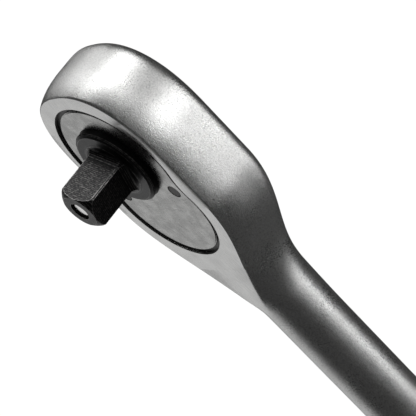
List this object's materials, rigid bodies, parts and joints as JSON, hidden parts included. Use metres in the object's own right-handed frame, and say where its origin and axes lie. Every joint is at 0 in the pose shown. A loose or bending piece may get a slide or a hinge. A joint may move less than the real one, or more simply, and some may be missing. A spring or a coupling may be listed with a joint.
{
  "type": "ratchet wrench",
  "caption": "Reversible ratchet wrench with a round head, flush cover plate, black square drive with push-button socket release, thumb lever on the back and a moulded grip.",
  "frame": {"origin": "where the drive axis meets the ground front face of the head", "axes": "+Z along the drive axis out of the face, +X along the handle, +Y across the head"},
  "size_m": [0.15, 0.0292, 0.0241],
  "materials": {
    "forged_steel": "satin",
    "ground_steel": "ground satin",
    "spring_steel": "bright",
    "black_oxide": "black oxide, worn at the edges",
    "bronze": "turned",
    "seal_rubber": "matte",
    "tool_steel": "hardened",
    "polished_steel": "polished",
    "hard_plastic": "fine grain",
    "grip_rubber": "soft, matte"
  },
  "bodies": {
    "wrench": {"body": "forged_steel", "cover_plate": "ground_steel", "plate_snap_ring": "spring_steel", "pawl_pins": "black_oxide", "thrust_washer": "bronze", "spindle_oring": "seal_rubber", "pawl_spring": "spring_steel", "selector_oring": "seal_rubber", "lever_detent_ball": "polished_steel", "lever_detent_spring": "spring_steel", "grip_core": "hard_plastic", "grip_sleeve": "grip_rubber", "grip_ferrule": "ground_steel", "end_cap": "hard_plastic"},
    "drive": {"drive_spindle": "black_oxide", "button_bushing": "tool_steel", "release_spring": "spring_steel"},
    "release": {"release_rod": "polished_steel", "release_button": "black_oxide"},
    "ball": {"socket_ball": "polished_steel"},
    "lever": {"reversing_lever": "black_oxide", "selector_cam": "tool_steel", "lever_screw": "tool_steel"},
    "pawl_l": {"left_pawl": "tool_steel"},
    "pawl_r": {"right_pawl": "tool_steel"}
  },
  "joints": [
    {"name": "drive_spin", "type": "hinge", "parent": "wrench", "child": "drive", "pos_m": [0, 0, 0], "axis": [0, 0, 1], "continuous": true},
    {"name": "button_press", "type": "slide", "parent": "drive", "child": "release", "axis": [0, 0, 1], "range_m": [0, 0.0013], "stiffness_N_per_m": 400, "springref_m": -0.002, "deforming": ["release_spring"]},
    {"name": "ball_retract", "type": "slide", "parent": "drive", "child": "ball", "axis": [-0.497, -0.8678, 0], "range_m": [-0.00046, 0]},
    {"name": "lever_turn", "type": "hinge", "parent": "wrench", "child": "lever", "pos_m": [0.0126, 0, 0], "axis": [0, 0, 1], "range_deg": [0, 50]},
    {"name": "left_pawl_lift", "type": "hinge", "parent": "wrench", "child": "pawl_l", "pos_m": [0.00706, 0.00774, 0], "axis": [0, 0, 1], "range_deg": [0, 8.2]},
    {"name": "right_pawl_drop", "type": "hinge", "parent": "wrench", "child": "pawl_r", "pos_m": [0.00706, -0.00774, 0], "axis": [0, 0, 1], "range_deg": [0, 8.2]}
  ],
  "couplings": [
    {"joint": "ball_retract", "follows": "button_press", "ratio": -0.35},
    {"joint": "left_pawl_lift", "follows": "lever_turn", "ratio": 0.16},
    {"joint": "right_pawl_drop", "follows": "lever_turn", "ratio": 0.16}
  ]
}
